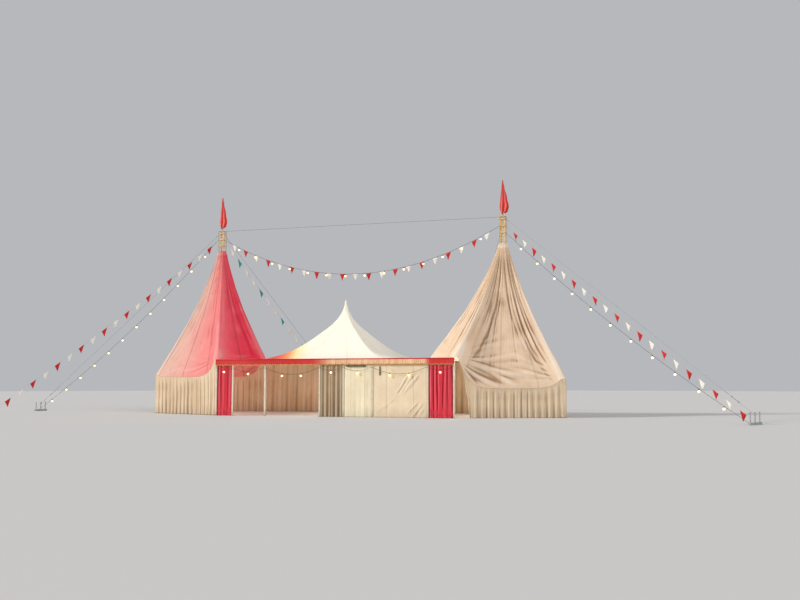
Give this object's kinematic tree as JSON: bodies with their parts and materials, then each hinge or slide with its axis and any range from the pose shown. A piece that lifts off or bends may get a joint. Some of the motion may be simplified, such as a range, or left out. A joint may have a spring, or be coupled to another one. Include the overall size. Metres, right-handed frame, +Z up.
{
  "type": "small circus big top tent",
  "caption": "Small circus tent with two canvas peaks hoisted on lattice masts, a pagoda roof between, a valanced curtained front, festoon lights and bunting.",
  "frame": {"origin": "on the ground midway between the two king masts, at the middle of the box round the guys and stakes", "axes": "+X along the front towards the right peak, +Y from the front to the back, +Z up"},
  "size_m": [35.2896, 15.4484, 10.7003],
  "materials": {
    "mast_steel": "worn gold paint",
    "galvanised_steel": "dull galvanised",
    "white_steel": "white paint",
    "ivory_canvas": "cotton canvas",
    "red_canvas": "dyed canvas",
    "red_velvet": "heavy curtain cloth",
    "brown_canvas": "dyed canvas",
    "flag_cloth": "thin cloth",
    "festoon_light": "black cable with warm bulbs"
  },
  "bodies": {
    "root": {"left_king_mast": "mast_steel", "left_flagstaff": "white_steel", "left_pennant": "red_canvas", "left_hoist_ring": "galvanised_steel", "left_peak_canopy": "red_canvas", "left_outer_front_post": "white_steel", "left_outer_back_post": "white_steel", "left_inner_frame": "white_steel", "left_front_wall": "ivory_canvas", "left_outer_wall": "ivory_canvas", "left_back_wall": "ivory_canvas", "left_curtain": "red_velvet", "left_link_roof": "ivory_canvas", "left_side_guy": "galvanised_steel", "left_back_guy": "galvanised_steel", "right_king_mast": "mast_steel", "right_flagstaff": "white_steel", "right_pennant": "red_canvas", "right_hoist_ring": "galvanised_steel", "right_peak_canopy": "ivory_canvas", "right_outer_front_post": "white_steel", "right_outer_back_post": "white_steel", "right_inner_frame": "white_steel", "right_front_wall": "ivory_canvas", "right_outer_wall": "ivory_canvas", "right_back_wall": "ivory_canvas", "right_curtain": "red_velvet", "right_link_roof": "ivory_canvas", "right_side_guy": "galvanised_steel", "right_back_guy": "galvanised_steel", "right_door_flap": "ivory_canvas", "front_frame": "white_steel", "front_valance": "red_canvas", "front_brown_wall": "brown_canvas", "front_ivory_wall": "ivory_canvas", "front_tan_wall": "ivory_canvas", "back_frame": "white_steel", "back_valance": "red_canvas", "back_left_wall": "ivory_canvas", "back_middle_wall": "ivory_canvas", "back_right_wall": "ivory_canvas", "centre_roof": "ivory_canvas", "centre_frame": "white_steel", "left_front_stake": "galvanised_steel", "ridge_cable": "galvanised_steel", "festoon_front": "festoon_light", "festoon_middle": "festoon_light", "festoon_left": "festoon_light", "festoon_right": "festoon_light", "bunting_middle": "flag_cloth", "bunting_left": "flag_cloth", "bunting_right": "flag_cloth", "bunting_back": "flag_cloth"}
  },
  "joints": []
}
